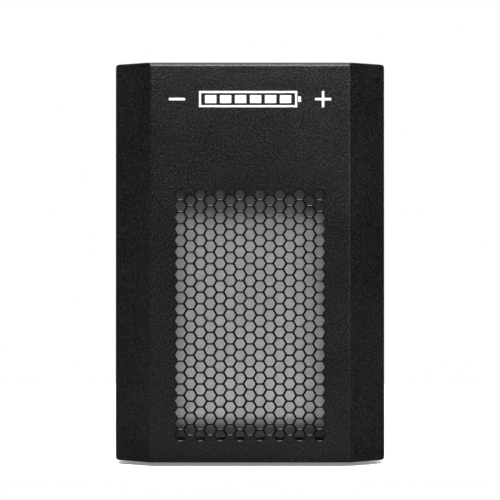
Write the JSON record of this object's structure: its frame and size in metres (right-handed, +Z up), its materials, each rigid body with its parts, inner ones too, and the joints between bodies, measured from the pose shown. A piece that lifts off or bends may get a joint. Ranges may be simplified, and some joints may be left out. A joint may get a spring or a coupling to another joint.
{
  "type": "tower battery pack",
  "caption": "Free-standing tower battery pack: moulded bezel with a hexagonal grille, steel case, sealed blocks inside, breaker and battery sockets at the rear.",
  "frame": {"origin": "on the floor, under the middle of the pack's bounding box", "axes": "+Z up, the bezel faces -Y, the sockets face +Y, +X to the right seen from the front"},
  "size_m": [0.144, 0.36, 0.214],
  "materials": {
    "bezel_plastic": "moulded black, fine texture",
    "case_paint": "black powder coat",
    "tray_paint": "thin dark grey paint",
    "zinc_sheet": "zinc coated sheet, dull",
    "zinc_fastener": "zinc plated",
    "black_screw": "blackened steel",
    "foot_rubber": "matt moulded rubber",
    "foam_pad": "closed cell foam",
    "battery_case_plastic": "moulded, satin",
    "battery_lid_plastic": "moulded, satin",
    "tinned_contact": "tin plated",
    "stud_brass": "bright brass",
    "breaker_plastic": "moulded black thermoset",
    "handle_plastic": "moulded off-white",
    "connector_plastic": "moulded grey",
    "red_insulation": "smooth vinyl",
    "black_insulation": "smooth vinyl"
  },
  "bodies": {
    "cabinet": {"outer_cover": "case_paint", "base_tray": "tray_paint", "access_plate": "zinc_sheet", "rear_panel": "case_paint", "access_plate_screws": "zinc_fastener", "rear_panel_screws": "zinc_fastener", "cover_screws": "black_screw", "foot_front_left": "foot_rubber", "foot_front_right": "foot_rubber", "foot_rear_left": "foot_rubber", "foot_rear_right": "foot_rubber", "foot_screws": "zinc_fastener", "breaker_body": "breaker_plastic", "breaker_screws": "zinc_fastener", "breaker_studs": "stud_brass", "breaker_nuts": "zinc_fastener", "connector_housing_upper": "connector_plastic", "connector_housing_lower": "connector_plastic", "connector_contacts": "tinned_contact", "connector_bracket": "zinc_sheet", "connector_bracket_screws": "zinc_fastener", "connector_screws": "zinc_fastener", "connector_nuts": "zinc_fastener", "earth_stud": "zinc_fastener", "earth_washer": "zinc_fastener", "earth_nut": "zinc_fastener", "battery_case_1": "battery_case_plastic", "battery_case_2": "battery_case_plastic", "battery_case_3": "battery_case_plastic", "battery_case_4": "battery_case_plastic", "battery_case_5": "battery_case_plastic", "battery_case_6": "battery_case_plastic", "battery_lid_1": "battery_lid_plastic", "battery_lid_2": "battery_lid_plastic", "battery_lid_3": "battery_lid_plastic", "battery_lid_4": "battery_lid_plastic", "battery_lid_5": "battery_lid_plastic", "battery_lid_6": "battery_lid_plastic", "battery_terminals_1": "tinned_contact", "battery_terminals_2": "tinned_contact", "battery_terminals_3": "tinned_contact", "battery_terminals_4": "tinned_contact", "battery_terminals_5": "tinned_contact", "battery_terminals_6": "tinned_contact", "base_pad": "foam_pad", "front_pad": "foam_pad", "row_spacer_front": "foam_pad", "row_spacer_rear": "foam_pad", "clamp_bar_front": "zinc_sheet", "clamp_bar_rear": "zinc_sheet", "clamp_pads": "foam_pad", "clamp_screws": "zinc_fastener", "tab_receptacles": "red_insulation", "series_jumpers": "black_insulation", "string_positive_leads": "red_insulation", "string_negative_leads": "black_insulation", "output_leads": "black_insulation", "ring_lugs": "tinned_contact"},
    "bezel": {"front_bezel": "bezel_plastic"},
    "handle": {"breaker_toggle": "handle_plastic"}
  },
  "joints": [
    {"name": "bezel_pull", "type": "slide", "parent": "cabinet", "child": "bezel", "axis": [0, -1, 0], "range_m": [0, 0.06]},
    {"name": "handle_throw", "type": "hinge", "parent": "cabinet", "child": "handle", "pos_m": [-0.025, 0.164, 0.186], "axis": [0, 0, -1], "range_deg": [0, 50]}
  ]
}
